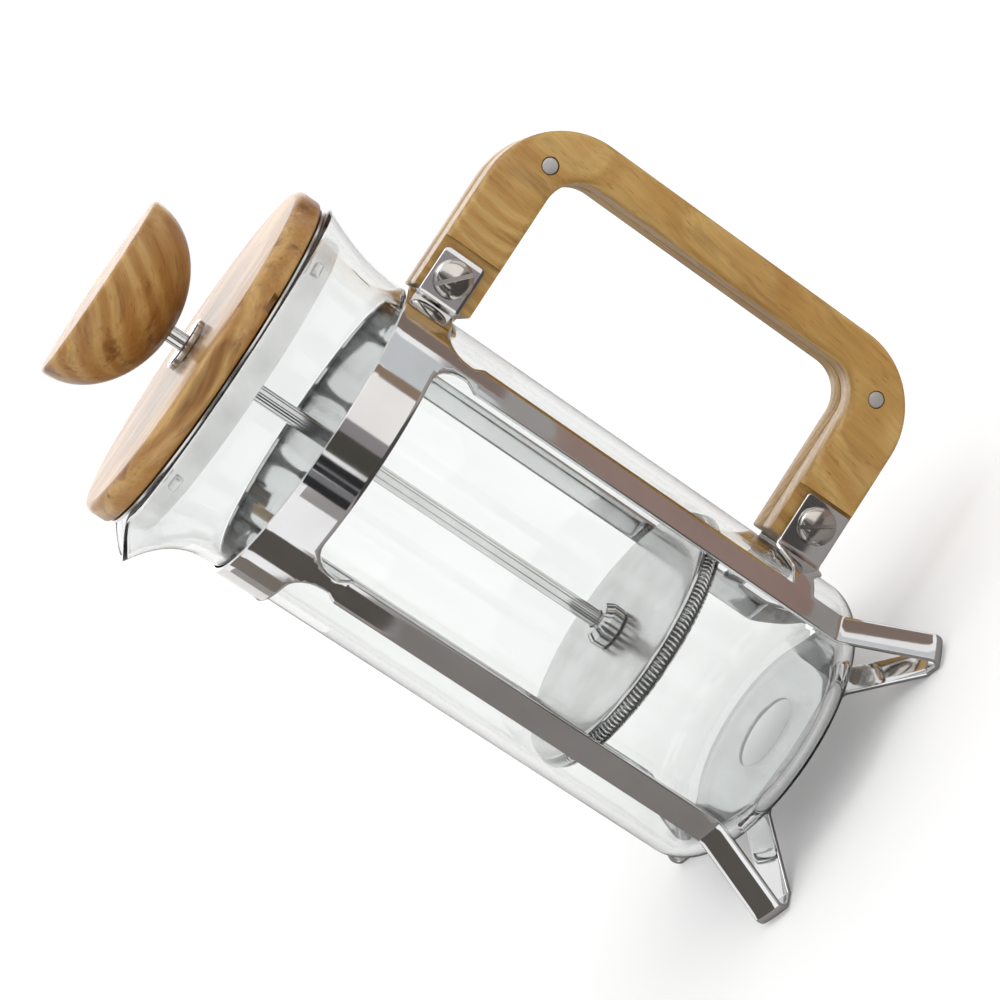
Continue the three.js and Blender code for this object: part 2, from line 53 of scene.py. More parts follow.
# The press is in millimetres, with x measured from the vessel's axis. Its stage is in metres.
GLASS = {"radius": 36.0, "wall": 2.3, "bottom": 11.4, "corner": 8.0, "straight_to": 139.0,
         "rim": 161.3}
FLARE = [(36.3, 143), (36.8, 147), (37.5, 150.5), (38.5, 153.8), (39.6, 156.8), (40.6, 159.2),
         (41.1, 160.5)]  # (radius, height) up the outside
SPOUT = {"from": 143.0, "push": 5.0, "drop": 5.6, "half_angle": 27.0, "curve": 1.6}

SHEET = 1.1
CAGE_RADIUS = 36.85  # middle of the sheet
BAND = (126.5, 138.3)
STRAPS = {"handle": 45.0, "spout": 135.0}  # degrees off +X, on both sides
STRAP_HALF = 4.0
NECK_HALF = 2.2
NECK_BOTTOM, SHOULDER = 119.2, 117.0
NECK_FILLET_END = 120.4
LEG_TOP = 119.8
LEG_CORNERS = [(CAGE_RADIUS, LEG_TOP), (CAGE_RADIUS, 20.5), (48.9, 0.55), (43.4, 0.55),
               (26.0, 9.35), (15.0, 9.35)]  # (radius, height) down a strap
LEG_RADII = (4.0, 1.6, 1.2, 3.0)
BASE_RING = {"hole": 9, "radius": 25, "bottom": 10.2, "top": 11.1, "edge": 0.3}
TAB_Y = 6.85
TAB_BEND = 2.0
UPPER_TAB = {"end": 48.8, "bottom": 125.3, "top": 135.7}
LOWER_TAB = {"end": 50.0, "bottom": 25.0, "top": 36.6}
TONGUE = {"neck": (28.3, 33.9), "neck_end": 9.0, "flare_from": 5.0, "flare_length": 1.8}
UPPER_SCREW = (43.2, 130.5, 43.0)  # x, z and the angle of the slot
LOWER_SCREW = (44.4, 30.9, 56.0)
SCREW_HOLE = 2.2
SCREW_SEAT = 7.7  # the tabs' outer faces, from the middle plane
SCREW_HEAD = 4.4
SLOT_HALF, SLOT_DEPTH = 0.5, 1.25

ARM_END = 38.2
GRIP = (77.8, 87.3)
LOWER_ARM = (24.5, 39.4)
UPPER_ARM = (122.6, 137.0)
HANDLE_HALF = 7.5
HANDLE_OUTER_CORNER, HANDLE_INNER_CORNER, ARM_CORNER = 20, 8.5, 0.6
RECESS = (50.7, 6.0)  # end along x, floor beside the middle plane
PIN_X, PIN_FROM_ARM, PIN_RADIUS, PIN_HALF, PIN_HOLE = 75.7, 10.6, 1.85, 7.4, 2.05
PIN_HEIGHTS = {"lower": LOWER_ARM[0] + PIN_FROM_ARM, "upper": UPPER_ARM[1] - PIN_FROM_ARM}

LID = {"radius": 40.8, "bottom": 162.6, "top": 168.6, "hole": 3.8}
NOTCH = {"angle": -69.4, "inner": 38.5, "outer": 43, "half": 2.2, "bottom": 160, "top": 163.9}
KNOB = {"radius": 21.8, "bottom": 173.8, "top": 192.0, "rim": 0.8, "hole": 3.7, "hole_top": 184.9}
ROD = {"radius": 2, "bottom": 45.6, "top": 183, "edge": 0.5}
ROD_BORE = 2.3  # in the bushing, the insert and everything in the filter


# ---- outlines ----

def arc(cx, cy, radius, start, end, steps):
    """Points of an arc from one angle to the other, in degrees."""
    angles = [math.radians(start + (end - start) * i / steps) for i in range(steps + 1)]
    return [(cx + radius * math.cos(a), cy + radius * math.sin(a)) for a in angles]


def rounded(corners, closed=True, steps=6):
    """A polygon or path of (x, y, radius) corners with each corner turned into an arc."""
    count = len(corners)
    points = []
    for i, (x, y, radius) in enumerate(corners):
        at_end = not closed and i in (0, count - 1)
        if radius <= 0 or at_end:
            points.append((x, y))
            continue
        here = Vector((x, y))
        before = (Vector(corners[i - 1][:2]) - here).normalized()
        after = (Vector(corners[(i + 1) % count][:2]) - here).normalized()
        half = before.angle(after) / 2
        if half > math.radians(89.5):
            points.append((x, y))
            continue
        centre = here + (before + after).normalized() * (radius / math.sin(half))
        first = here + before * (radius / math.tan(half)) - centre
        last = here + after * (radius / math.tan(half)) - centre
        start = math.atan2(first.y, first.x)
        turn = (math.atan2(last.y, last.x) - start + math.pi) % TURN - math.pi
        for k in range(steps + 1):
            a = start + turn * k / steps
            points.append((centre.x + radius * math.cos(a), centre.y + radius * math.sin(a)))
    return points


def offset_loop(points, distance):
    """A closed loop moved to the left of its own direction."""
    p = np.array(points, float)
    along = np.roll(p, -1, 0) - p
    along /= np.linalg.norm(along, axis=1)[:, None]
    both = along + np.roll(along, 1, 0)
    length = np.linalg.norm(both, axis=1)[:, None]
    tangent = both / length
    left = np.stack([-tangent[:, 1], tangent[:, 0]], 1)
    return p + left * distance / (length / 2)


def offset_path(points, distance):
    """An open path moved to the left of its own direction."""
    p = np.array(points, float)
    along = np.diff(p, axis=0)
    along /= np.linalg.norm(along, axis=1)[:, None]
    both = np.vstack([along[:1], along]) + np.vstack([along, along[-1:]])
    length = np.linalg.norm(both, axis=1)[:, None]
    tangent = both / length
    left = np.stack([-tangent[:, 1], tangent[:, 0]], 1)
    return p + left * distance / (length / 2)


def subdivided(points, step):
    """A closed loop with no side longer than step says at its middle."""
    made = []
    for i, (x, y) in enumerate(points):
        x2, y2 = points[(i + 1) % len(points)]
        length = math.hypot(x2 - x, y2 - y)
        if length < 1e-6:
            continue
        pieces = [(0.0, 1.0)]
        while True:
            split = []
            for a, b in pieces:
                middle = (a + b) / 2
                size = step(x + (x2 - x) * middle, y + (y2 - y) * middle)
                if (b - a) * length > size:
                    split += [(a, middle), (middle, b)]
                else:
                    split.append((a, b))
            if len(split) == len(pieces):
                break
            pieces = split
        made += [(x + (x2 - x) * a, y + (y2 - y) * a) for a, _ in pieces]
    return made


def well_inside(points, loops, margin):
    """The points inside the loops' even-odd area and at least margin from every side."""
    p = np.array(points, float)
    inside = np.zeros(len(p), bool)
    near = np.full(len(p), 1e9)
    for loop in loops:
        for (x1, y1), (x2, y2) in zip(loop, np.roll(loop, -1, 0)):
            crosses = (y1 > p[:, 1]) != (y2 > p[:, 1])
            if y1 != y2:
                inside ^= crosses & (p[:, 0] < x1 + (p[:, 1] - y1) * (x2 - x1) / (y2 - y1))
            side = np.array([x2 - x1, y2 - y1])
            share = np.clip(((p - (x1, y1)) @ side) / max(side @ side, 1e-12), 0, 1)
            near = np.minimum(near, np.linalg.norm(p - (x1, y1) - share[:, None] * side, axis=1))
    return p[inside & (near > margin)]


# ---- meshes ----

def slab(loops, section, place, grid=None, margin=0.3):
    """A closed sheet with holes.

    section lists (inset, height) up its edge, and place puts (u, v, height) in space.
    """
    verts, faces = [], []
    rings = []
    for loop in loops:
        rows = []
        for inset, height in section:
            ring = offset_loop(loop, inset) if inset else np.array(loop, float)
            rows.append(range(len(verts), len(verts) + len(ring)))
            verts += [place(u, v, height) for u, v in ring]
        count = len(loop)
        for low, high in zip(rows, rows[1:]):
            for i in range(count):
                j = (i + 1) % count
                faces.append((low[i], low[j], high[j], high[i]))
        rings.append(rows)
    for end in (0, -1):
        inset, height = section[end]
        caps = [offset_loop(loop, inset) if inset else np.array(loop, float) for loop in loops]
        flat = [tuple(p) for cap in caps for p in cap]
        edges, start = [], 0
        for cap in caps:
            edges += [(start + i, start + (i + 1) % len(cap)) for i in range(len(cap))]
            start += len(cap)
        if grid is not None and len(grid):
            flat += [tuple(p) for p in well_inside(grid, caps, margin)]
        made = delaunay_2d_cdt([Vector(p) for p in flat], edges, [], 2, 1e-6)
        base = len(verts)
        verts += [place(p.x, p.y, height) for p in made[0]]
        faces += [tuple(base + i for i in face) for face in made[2]]
    return verts, faces


def lathe(profile, segments, closed=True, warp=None):
    """A profile of (radius, height) turned about the vessel's axis."""
    verts, faces = [], []
    for k in range(segments):
        angle = TURN * k / segments
        for radius, height in profile:
            x, y, z = radius * math.cos(angle), radius * math.sin(angle), height
            if warp:
                x, y, z = warp(x, y, z)
            verts.append((x, y, z))
    count = len(profile)
    for k in range(segments):
        a, b = k * count, (k + 1) % segments * count
        for i in range(count if closed else count - 1):
            j = (i + 1) % count
            faces.append((a + i, b + i, b + j, a + j))
    return verts, faces


def to_metres(verts):
    return [(AXIS_X + x * MM, y * MM, z * MM) for x, y, z in verts]


def along_y(verts, x, z):
    """Turns a shape made about the vertical axis so that its axis runs along y through (x, z)."""
    return [(x + px, pz, z + py) for px, py, pz in verts]


def mesh_of(name, verts, faces):
    mesh = bpy.data.meshes.new(name)
    mesh.from_pydata(to_metres(verts), [], faces)
    made = bmesh.new()
    made.from_mesh(mesh)
    bmesh.ops.remove_doubles(made, verts=made.verts, dist=2e-6)
    bmesh.ops.dissolve_degenerate(made, edges=made.edges, dist=1e-7)
    bmesh.ops.recalc_face_normals(made, faces=made.faces)
    made.to_mesh(mesh)
    made.free()
    return mesh


def piece(name, body, nodes, material, shape, cutters=(), sharp=38):
    """A new piece that stands for CAD nodes. cutters are shapes taken out of it."""
    obj = bpy.data.objects.new(name, mesh_of(name, *shape))
    scene.collection.objects.link(obj)
    for cutter in cutters:
        tool = bpy.data.objects.new(name + "_cutter", mesh_of(name + "_cutter", *cutter))
        scene.collection.objects.link(tool)
        cut = obj.modifiers.new("cut", "BOOLEAN")
        cut.operation, cut.solver, cut.object = "DIFFERENCE", "EXACT", tool
        bpy.context.view_layer.update()
        graph = bpy.context.evaluated_depsgraph_get()
        done = bpy.data.meshes.new_from_object(obj.evaluated_get(graph))
        obj.modifiers.clear()
        obj.data = done
        bpy.data.objects.remove(tool)
    mesh = obj.data
    mesh.materials.clear()
    mesh.materials.append(material)
    mesh.polygons.foreach_set("use_smooth", [True] * len(mesh.polygons))
    mesh.set_sharp_from_angle(angle=math.radians(sharp))
    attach(obj, body)
    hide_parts(*nodes)
    return obj


def block(x1, x2, y1, y2, z1, z2):
    verts = [(x, y, z) for x in (x1, x2) for y in (y1, y2) for z in (z1, z2)]
    faces = [(0, 1, 3, 2), (4, 6, 7, 5), (0, 4, 5, 1), (2, 3, 7, 6), (0, 2, 6, 4), (1, 5, 7, 3)]
    return verts, faces


def turned(shape, degrees):
    """A shape turned about the vessel's axis."""
    verts, faces = shape
    c, s = math.cos(math.radians(degrees)), math.sin(math.radians(degrees))
    return [(x * c - y * s, x * s + y * c, z) for x, y, z in verts], faces


def bar_y(radius, x, z, y1, y2, segments=40):
    verts, faces = lathe([(0, y1), (radius, y1), (radius, y2), (0, y2)], segments)
    return along_y(verts, x, z), faces


def sheet_edge(thickness, radius, steps=3):
    """The section of a sheet with rounded edges, as (inset, height) from below to above."""
    low = []
    for k in range(steps + 1):
        a = math.pi / 2 * k / steps
        low.append((radius * (1 - math.sin(a)), -thickness / 2 + radius * (1 - math.cos(a))))
    return low + [(inset, -height) for inset, height in reversed(low)]


# ---- materials ----

def node_material(name):
    material = bpy.data.materials.new(name)
    material.use_nodes = True
    tree = material.node_tree
    return material, tree, tree.nodes["Principled BSDF"]


def link(tree, a, b):
    tree.links.new(a, b)


def mapped(tree, scale=(1, 1, 1), rotation=(0, 0, 0), location=(0, 0, 0)):
    """Object coordinates, moved, turned and stretched."""
    coords = tree.nodes.new("ShaderNodeTexCoord")
    move = tree.nodes.new("ShaderNodeMapping")
    move.vector_type = "POINT"
    move.inputs["Location"].default_value = location
    move.inputs["Rotation"].default_value = rotation
    move.inputs["Scale"].default_value = scale
    link(tree, coords.outputs["Object"], move.inputs["Vector"])
    return move.outputs["Vector"]


def noise(tree, vector, scale, detail=3.0, roughness=0.5, distortion=0.0):
    made = tree.nodes.new("ShaderNodeTexNoise")
    made.inputs["Scale"].default_value = scale
    made.inputs["Detail"].default_value = detail
    made.inputs["Roughness"].default_value = roughness
    made.inputs["Distortion"].default_value = distortion
    link(tree, vector, made.inputs["Vector"])
    return made.outputs["Fac"]


def spread(tree, value, low, high, to_low, to_high):
    made = tree.nodes.new("ShaderNodeMapRange")
    numbers = {"From Min": low, "From Max": high, "To Min": to_low, "To Max": to_high}
    for socket, number in numbers.items():
        made.inputs[socket].default_value = number
    link(tree, value, made.inputs["Value"])
    return made.outputs["Result"]


def ramp(tree, value, stops):
    made = tree.nodes.new("ShaderNodeValToRGB")
    elements = made.color_ramp.elements
    while len(elements) < len(stops):
        elements.new(0.5)
    for element, (position, colour) in zip(elements, stops):
        element.position = position
        element.color = (*colour, 1)
    link(tree, value, made.inputs["Fac"])
    return made.outputs["Color"]


def mixed(tree, blend, share, a, b):
    """Two colours mixed; share, a and b are sockets or numbers or colours."""
    made = tree.nodes.new("ShaderNodeMix")
    made.data_type = "RGBA"
    made.blend_type = blend
    for socket, value in ((made.inputs[0], share), (made.inputs[6], a), (made.inputs[7], b)):
        if isinstance(value, bpy.types.NodeSocket):
            link(tree, value, socket)
        else:
            socket.default_value = value if isinstance(value, (int, float)) else (*value, 1)
    return made.outputs[2]


def bump(tree, shader, heights):
    """Stacks (height socket, distance in metres) as bumps."""
    normal = None
    for height, distance in heights:
        made = tree.nodes.new("ShaderNodeBump")
        made.inputs["Distance"].default_value = distance
        link(tree, height, made.inputs["Height"])
        if normal is not None:
            link(tree, normal, made.inputs["Normal"])
        normal = made.outputs["Normal"]
    link(tree, normal, shader.inputs["Normal"])


def polished(name, colour, dull, rough=(0.03, 0.10), brush=(1, 1, 1), wave=0.00002):
    """Bright metal with faint smears, hairline scratches and a slightly uneven surface."""
    material, tree, shader = node_material(name)
    shader.inputs["Metallic"].default_value = 1.0
    smear = noise(tree, mapped(tree), 55, 5, 0.6)
    hairs = noise(tree, mapped(tree, brush), 900, 2, 0.7)
    link(tree, ramp(tree, smear, [(0.3, colour), (0.75, dull)]), shader.inputs["Base Color"])
    both = mixed(tree, "MIX", 0.45, smear, hairs)
    link(tree, spread(tree, both, 0.3, 0.75, *rough), shader.inputs["Roughness"])
    bump(tree, shader, [(noise(tree, mapped(tree), 45, 2), wave), (hairs, 0.0000015)])
    return material


def wood(name, palette, grain, seed, ring=70.0, wander=1.0, patches=0.6, streaks=0.7):
    """Oiled olive wood: wandering growth rings, dark veins, fine fibres and pores along the grain.

    grain turns and seed moves the coordinates, which chooses the cut of the log that shows.
    """
    material, tree, shader = node_material(name)
    pale, honey, brown, vein = palette
    base = mapped(tree, rotation=grain, location=seed)
    slow = noise(tree, base, 24, 2, 0.5)
    stretch = tree.nodes.new("ShaderNodeVectorMath")
    stretch.operation = "SCALE"
    stretch.inputs["Scale"].default_value = 0.014 * wander
    link(tree, slow, stretch.inputs[0])
    drift = tree.nodes.new("ShaderNodeVectorMath")
    drift.operation = "ADD"
    link(tree, base, drift.inputs[0])
    link(tree, stretch.outputs[0], drift.inputs[1])

    def stretched(scale):
        made = tree.nodes.new("ShaderNodeVectorMath")
        made.operation = "MULTIPLY"
        made.inputs[1].default_value = scale
        link(tree, drift.outputs[0], made.inputs[0])
        return made.outputs[0]

    wave = tree.nodes.new("ShaderNodeTexWave")
    wave.wave_type = "RINGS"
    wave.rings_direction = "X"
    wave.wave_profile = "SIN"
    for socket, value in (("Scale", ring), ("Distortion", 2.6 * wander), ("Detail", 3.0),
                          ("Detail Scale", 0.7), ("Detail Roughness", 0.55)):
        wave.inputs[socket].default_value = value
    link(tree, stretched((0.35, 1, 1)), wave.inputs["Vector"])
    rings = wave.outputs["Fac"]
    cloud = noise(tree, stretched((0.4, 1, 1)), 75, 3, 0.55)
    fibres = noise(tree, stretched((0.045, 1, 1)), 1300, 3, 0.65)
    veins = noise(tree, stretched((0.10, 1, 1)), 260, 4, 0.6, 0.4)
    pores = noise(tree, stretched((0.08, 1, 1)), 2600, 1, 0.5)

    colour = ramp(tree, rings, [(0.05, honey), (0.45, pale), (0.8, pale), (0.98, honey)])
    colour = mixed(tree, "MIX", spread(tree, cloud, 0.48, 0.72, 0.0, patches), colour, brown)
    colour = mixed(tree, "MIX", spread(tree, veins, 0.55, 0.72, 0.0, streaks), colour, vein)
    tint = ramp(tree, fibres, [(0.3, (0.84, 0.81, 0.76)), (0.64, (1.05, 1.05, 1.04))])
    colour = mixed(tree, "MULTIPLY", 0.9, colour, tint)
    colour = mixed(tree, "MIX", spread(tree, pores, 0.66, 0.76, 0.0, 0.5), colour, vein)
    link(tree, colour, shader.inputs["Base Color"])
    link(tree, spread(tree, fibres, 0.3, 0.7, 0.6, 0.45), shader.inputs["Roughness"])
    shader.inputs["Specular IOR Level"].default_value = 0.25
    shader.inputs["Coat Weight"].default_value = 0.5
    shader.inputs["Coat Roughness"].default_value = 0.2
    bump(tree, shader, [(fibres, 0.00003), (pores, 0.00004)])
    return material


def clear_glass(name):
    """Clear blown glass with faint wipe marks."""
    material, tree, shader = node_material(name)
    shader.inputs["Transmission Weight"].default_value = 1.0
    shader.inputs["IOR"].default_value = 1.47
    marks = noise(tree, mapped(tree, (1, 1, 0.25)), 120, 5, 0.65)
    link(tree, ramp(tree, marks, [(0.3, (0.955, 0.965, 0.962)), (0.8, (0.91, 0.925, 0.92))]),
         shader.inputs["Base Color"])
    link(tree, spread(tree, marks, 0.5, 0.85, 0.0, 0.035), shader.inputs["Roughness"])
    bump(tree, shader, [(noise(tree, mapped(tree), 30, 1), 0.00003)])
    return material


def woven(name):
    """Fine wire mesh, as two crossed sets of wires, with painted shade in the openings between
    them.
    """
    material, tree, shader = node_material(name)
    shader.inputs["Metallic"].default_value = 1.0
    sets = []
    for direction in ("X", "Y"):
        wires = tree.nodes.new("ShaderNodeTexWave")
        wires.wave_type = "BANDS"
        wires.bands_direction = direction
        wires.inputs["Scale"].default_value = 700
        link(tree, mapped(tree), wires.inputs["Vector"])
        sets.append(wires.outputs["Fac"])
    both = mixed(tree, "LIGHTEN", 1.0, *sets)
    # The openings between the wires are painted near black: painted shade, not a colour of the
    # steel.
    link(tree, ramp(tree, both, [(0.2, (0.05, 0.05, 0.05)), (0.8, (0.72, 0.71, 0.69))]),
         shader.inputs["Base Color"])
    link(tree, spread(tree, both, 0.2, 0.9, 0.6, 0.25), shader.inputs["Roughness"])
    bump(tree, shader, [(both, 0.00008)])
    return material


STEEL = polished("polished_steel", (0.80, 0.80, 0.81), (0.70, 0.695, 0.695), brush=(1, 1, 0.08))
FITTING = polished("turned_steel", (0.80, 0.80, 0.80), (0.66, 0.655, 0.65),
                   rough=(0.06, 0.16), brush=(1, 1, 6))
SCREWS = polished("screw_steel", (0.74, 0.715, 0.68), (0.54, 0.51, 0.47),
                  rough=(0.10, 0.24), brush=(6, 1, 1))
PRESSED = polished("pressed_steel", (0.80, 0.80, 0.80), (0.66, 0.65, 0.64), rough=(0.14, 0.28))
ALUMINIUM = polished("ground_aluminium", (0.90, 0.90, 0.90), (0.78, 0.78, 0.78),
                     rough=(0.5, 0.62), brush=(1, 1, 8))
BRASS = polished("turned_brass", (0.80, 0.62, 0.28), (0.62, 0.47, 0.20),
                 rough=(0.16, 0.3), brush=(1, 1, 6))
SPRING = polished("spring_wire", (0.82, 0.82, 0.82), (0.62, 0.62, 0.61), rough=(0.16, 0.3))
MESH = woven("woven_wire")
CLEAR = clear_glass("clear_glass")
YELLOW = ((0.49, 0.305, 0.094), (0.41, 0.225, 0.056), (0.31, 0.135, 0.028), (0.16, 0.060, 0.013))
HONEY = ((0.50, 0.300, 0.105), (0.38, 0.190, 0.050), (0.26, 0.105, 0.022), (0.12, 0.042, 0.010))
HANDLE_WOOD_FRONT = wood("olive_wood_handle_front", YELLOW, (0, math.radians(82), 0),
                         (0.03, 0.055, 0.047), ring=62, wander=0.7, patches=0.55, streaks=0.5)
HANDLE_WOOD_BACK = wood("olive_wood_handle_back", YELLOW, (0, math.radians(86), 0),
                        (0.11, -0.05, 0.05), ring=62, wander=0.7, patches=0.55, streaks=0.5)
LID_WOOD = wood("olive_wood_lid", HONEY, (0, math.radians(3), math.radians(12)),
                (0.04, 0.01, -0.06), ring=36, wander=1.1, patches=0.85, streaks=0.75)
KNOB_WOOD = wood("olive_wood_knob", HONEY, (0, math.radians(50), 0),
                 (0.02, 0.024, -0.016), ring=34, wander=1.0, patches=0.85, streaks=1.0)


# ---- glass vessel ----

def smooth_through(points, steps):
    """A curve through the points."""
    p = [np.array(q, float) for q in (points[0], *points, points[-1])]
    made = []
    for a, b, c, d in zip(p, p[1:], p[2:], p[3:]):
        for k in range(steps):
            t = k / steps
            made.append(tuple(0.5 * (2 * b + (c - a) * t + (2 * a - 5 * b + 4 * c - d) * t * t
                                     + (3 * b - a - 3 * c + d) * t ** 3)))
    return made + [tuple(points[-1])]


def spout_warp(x, y, z):
    """Leans the wall out and down into the pouring lip."""
    radius = math.hypot(x, y)
    if radius < 1e-6:
        return x, y, z
    aside = abs(math.atan2(y, -x)) / math.radians(SPOUT["half_angle"])
    up = (z - SPOUT["from"]) / (GLASS["rim"] - SPOUT["from"])
    if aside >= 1 or up <= 0:
        return x, y, z
    share = math.cos(aside * math.pi / 2) ** 2 * min(up, 1) ** SPOUT["curve"]
    grow = (radius + SPOUT["push"] * share) / radius
    return x * grow, y * grow, z - SPOUT["drop"] * share


def vessel():
    radius, corner, bottom = GLASS["radius"], GLASS["corner"], GLASS["bottom"]
    centre = radius - corner
    outside = [(0.02, bottom + 0.5), (8, bottom + 0.46), (16, bottom + 0.25), (22, bottom + 0.04)]
    outside += arc(centre, bottom + corner, corner, -90, 0, 16)
    wall = [(radius, z) for z in np.linspace(bottom + corner + 3, GLASS["straight_to"], 30)]
    outside += wall + smooth_through([wall[-1], *FLARE], 5)[1:]
    inside = offset_path(outside, GLASS["wall"])[::-1]
    half_wall = GLASS["wall"] / 2
    lip = offset_path(outside[-2:], half_wall)[-1]
    rim = [(lip[0] + half_wall * math.cos(a), lip[1] + half_wall * math.sin(a) * 0.72)
           for a in np.linspace(0.15, math.pi - 0.15, 9)]
    profile = [tuple(p) for p in outside] + rim + [tuple(p) for p in inside]
    profile = [(max(r, 0.0), z) for r, z in profile]
    profile[0], profile[-1] = (0.0, profile[0][1]), (0.0, profile[-1][1])
    return lathe(profile, 180, closed=False, warp=spout_warp)


piece("vessel_glass", "vessel", ["glass_vessel"], CLEAR, vessel(), sharp=80)


# ---- steel cage, one bent sheet ----

bend_x = math.sqrt((CAGE_RADIUS + TAB_BEND) ** 2 - (TAB_Y + TAB_BEND) ** 2)
bend_from = math.asin((TAB_Y + TAB_BEND) / (CAGE_RADIUS + TAB_BEND))
arc_length = CAGE_RADIUS * (math.pi - bend_from)
bend_length = TAB_BEND * (math.pi / 2 - bend_from)


def tab_u(x):
    return arc_length + bend_length + x - bend_x


def plan(u):
    """The point and normal, seen from above, of the unrolled sheet's distance u from the spout."""
    s = abs(u)
    if s <= arc_length:
        a = math.pi - s / CAGE_RADIUS
        x, y = CAGE_RADIUS * math.cos(a), CAGE_RADIUS * math.sin(a)
        nx, ny = math.cos(a), math.sin(a)
    elif s <= arc_length + bend_length:
        a = bend_from + (s - arc_length) / TAB_BEND
        nx, ny = math.cos(a), math.sin(a)
        x, y = bend_x - TAB_BEND * nx, TAB_Y + TAB_BEND - TAB_BEND * ny
    else:
        x, y, nx, ny = bend_x + s - arc_length - bend_length, TAB_Y, 0.0, 1.0
    return (x, -y, nx, -ny) if u > 0 else (x, y, nx, ny)


leg_corners = [(r, z, radius) for (r, z), radius in zip(LEG_CORNERS, (0, *LEG_RADII, 0))]
leg_line = np.array(rounded(leg_corners, closed=False, steps=24))
leg_run = np.concatenate([[0], np.cumsum(np.linalg.norm(np.diff(leg_line, axis=0), axis=1))])
leg_side = np.diff(leg_line, axis=0)
leg_side /= np.linalg.norm(leg_side, axis=1)[:, None]
leg_side = np.vstack([leg_side[:1], (leg_side[1:] + leg_side[:-1]) / 2, leg_side[-1:]])
leg_turning = [run for run, a, b in zip(leg_run, leg_side, leg_side[1:])
               if abs(a[0] * b[1] - a[1] * b[0]) > 1e-3]
LEG_END = LEG_TOP - leg_run[-1]
LEG_ZONE = 24.0  # below this height a strap follows its own bends
strap_places = {(name, side): side * CAGE_RADIUS * math.radians(180 - angle)
                for name, angle in STRAPS.items() for side in (1, -1)}


def place_cage(u, v, height):
    if v >= LEG_ZONE:
        x, y, nx, ny = plan(u)
        return x + nx * height, y + ny * height, v
    middle = min(strap_places.values(), key=lambda at: abs(at - u))
    run = LEG_TOP - v
    r, z = (np.interp(run, leg_run, leg_line[:, i]) for i in (0, 1))
    tr, tz = (np.interp(run, leg_run, leg_side[:, i]) for i in (0, 1))
    scale = math.hypot(tr, tz)
    nr, nz = -tz / scale, tr / scale
    turn = (u - middle) / CAGE_RADIUS
    across = (CAGE_RADIUS + nr * height) * math.sin(turn)
    out = r + nr * height - (CAGE_RADIUS + nr * height) * (1 - math.cos(turn))
    ox, oy, tx, ty = outward(middle)
    return ox * out + tx * across, oy * out + ty * across, z + nz * height


def outward(u):
    """The outward and the sideways direction at a strap."""
    a = math.pi + u / CAGE_RADIUS
    return math.cos(a), math.sin(a), -math.sin(a), math.cos(a)


def half_cage():
    """Corners (u, v, radius) from the bottom of the band at the spout to its top."""
    corners = []
    for name in ("spout", "handle"):
        u = strap_places[name, 1]
        fillet = BAND[0] - NECK_FILLET_END
        corners += [(u - NECK_HALF, BAND[0], fillet), (u - NECK_HALF, NECK_BOTTOM, 0.8),
                    (u - STRAP_HALF, SHOULDER, 1.2), (u - STRAP_HALF, LEG_END, 2.0),
                    (u + STRAP_HALF, LEG_END, 2.0)]
        if name == "handle":
            low, high = TONGUE["neck"]
            neck = arc_length - TONGUE["neck_end"]
            flare = arc_length - TONGUE["flare_from"] + TONGUE["flare_length"]
            bottom, top, end = LOWER_TAB["bottom"], LOWER_TAB["top"], tab_u(LOWER_TAB["end"])
            corners += [(u + STRAP_HALF, low, 0.5), (neck, low, 3.0), (flare, bottom, 3.0),
                        (end, bottom, 0.9), (end, top, 0.9),
                        (flare, top, 3.0), (neck, high, 3.0), (u + STRAP_HALF, high, 0.5)]
        corners += [(u + STRAP_HALF, SHOULDER, 1.2), (u + NECK_HALF, NECK_BOTTOM, 0.8),
                    (u + NECK_HALF, BAND[0], fillet)]
    bottom, top, end = UPPER_TAB["bottom"], UPPER_TAB["top"], tab_u(UPPER_TAB["end"])
    corners += [(arc_length - 1.2, BAND[0], 0.8), (arc_length + 0.6, bottom, 0.8),
                (end, bottom, 1.2), (end, top, 1.2),
                (arc_length + bend_length - 0.3, top, 0.7), (arc_length + 0.4, BAND[1], 0.8)]
    return corners


def cage_step(u, v):
    """How long a side of the sheet may be, shorter where it bends."""
    if v < LEG_ZONE and min(abs(LEG_TOP - v - run) for run in leg_turning) < 0.5:
        return 0.4
    if arc_length - 0.6 < abs(u) < arc_length + bend_length + 0.6:
        return 0.4
    return 1.5


def cage():
    half = half_cage()
    corners = half + [(-u, v, radius) for u, v, radius in reversed(half)]
    loops = [np.array(subdivided(rounded(corners), cage_step))]
    for x, z, _ in (UPPER_SCREW, LOWER_SCREW):
        for side in (1, -1):
            loops.append(np.array(arc(side * tab_u(x), z, SCREW_HOLE, 360, 15, 23)))
    columns, u = [], 0.0
    while u < tab_u(LOWER_TAB["end"]):
        columns.append(u)
        u += 0.85 * cage_step(u, BAND[0])
    columns = sorted({*columns, *(-u for u in columns)})
    rows = [*np.arange(25.6, 36.6, 1.3), *np.arange(117.2, 138, 1.3)]
    grid = [(u, v) for u in columns for v in rows]
    v = SHOULDER
    while v > LEG_END:
        grid += [(at + s, v) for at in strap_places.values() for s in (-2.4, -0.8, 0.8, 2.4)]
        v -= 0.9 * cage_step(0, v)
    return slab(loops, sheet_edge(SHEET, 0.28), place_cage, grid, 0.28)


cage_nodes = ["collar_band"]
cage_nodes += [f"strap_leg_{a}_{b}" for a in ("front", "back") for b in ("left", "right")]
piece("cage_bent_sheet", "frame", cage_nodes, STEEL, cage(), sharp=50)

